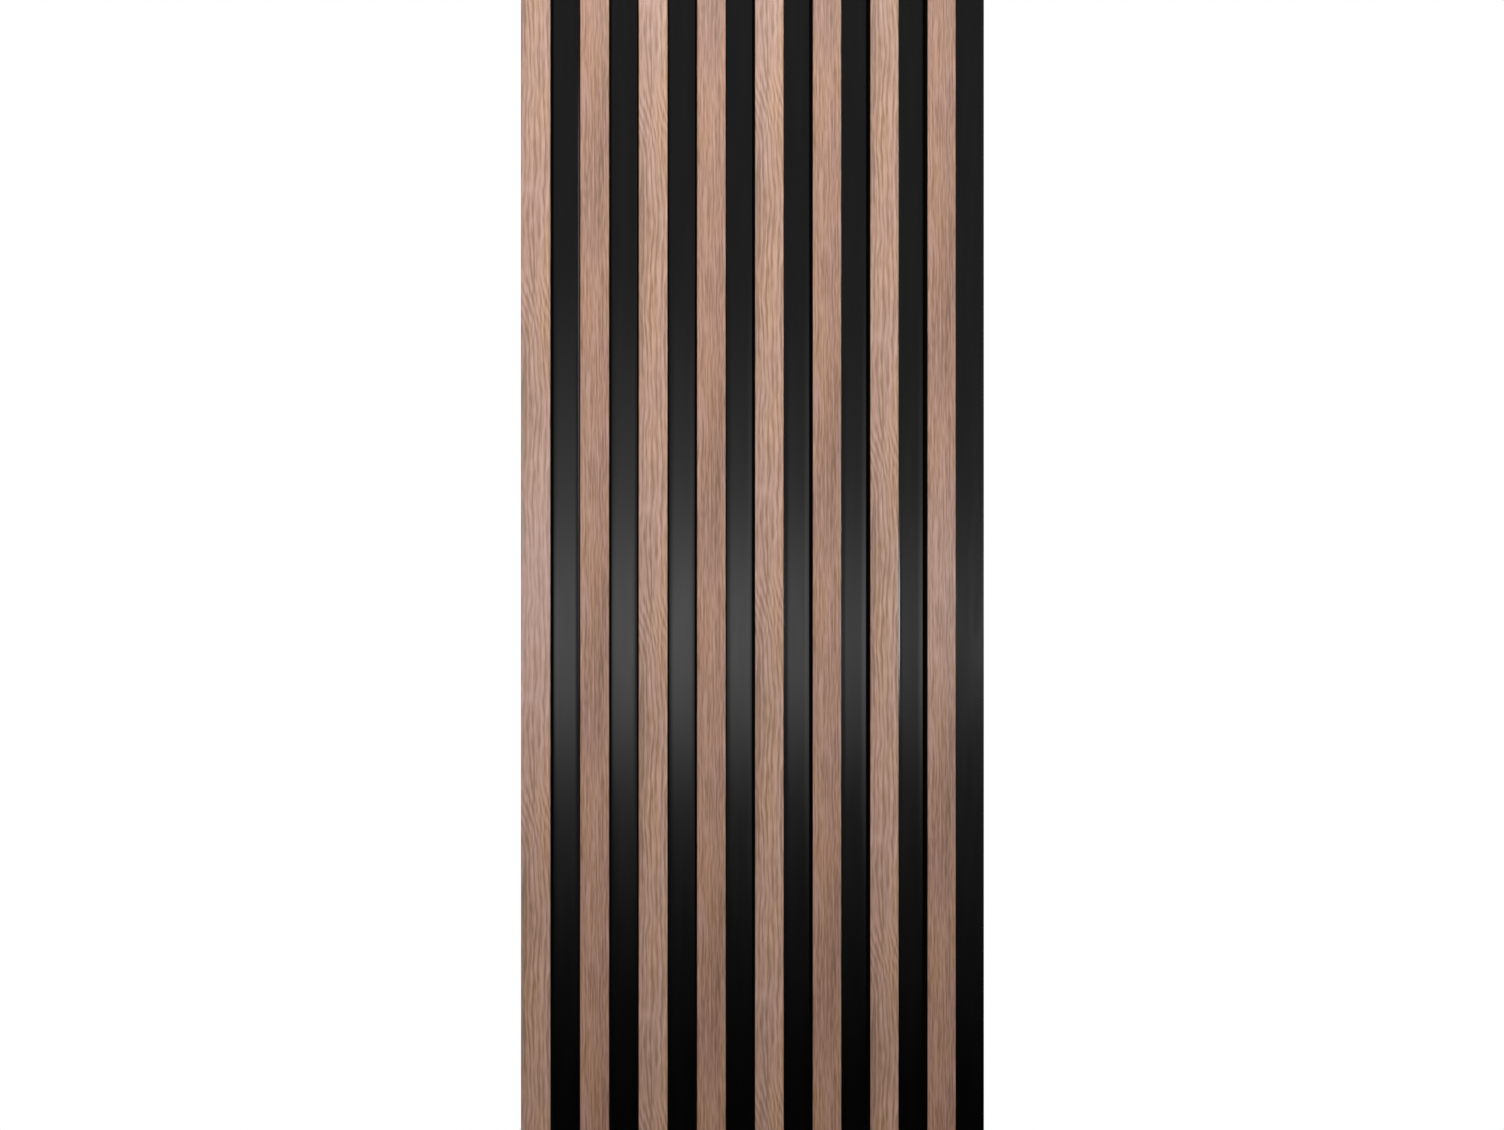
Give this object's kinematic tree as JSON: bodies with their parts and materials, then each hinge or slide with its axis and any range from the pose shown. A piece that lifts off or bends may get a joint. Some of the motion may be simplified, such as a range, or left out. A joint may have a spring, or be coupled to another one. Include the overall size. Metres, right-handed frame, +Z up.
{
  "type": "slat wall panel",
  "caption": "Wall panel of upright wood-look slats with open channels between them on a thin black backing board, flat at the back for gluing to a wall.",
  "frame": {"origin": "centre of the back face, which lies flat against the wall", "axes": "+Z up the wall along the slats, +Y into the wall, +X across the panel to the right as seen from the front, so the slats face -Y"},
  "size_m": [0.3035, 0.016, 1.2],
  "materials": {
    "black_board": "satin",
    "black_slat": "satin",
    "wood_film": "satin"
  },
  "bodies": {
    "root": {"backing_board": "black_board", "slat_1": "black_slat", "slat_2": "black_slat", "slat_3": "black_slat", "slat_4": "black_slat", "slat_5": "black_slat", "slat_6": "black_slat", "slat_7": "black_slat", "slat_8": "black_slat", "face_film_1": "wood_film", "face_film_2": "wood_film", "face_film_3": "wood_film", "face_film_4": "wood_film", "face_film_5": "wood_film", "face_film_6": "wood_film", "face_film_7": "wood_film", "face_film_8": "wood_film"}
  },
  "joints": []
}
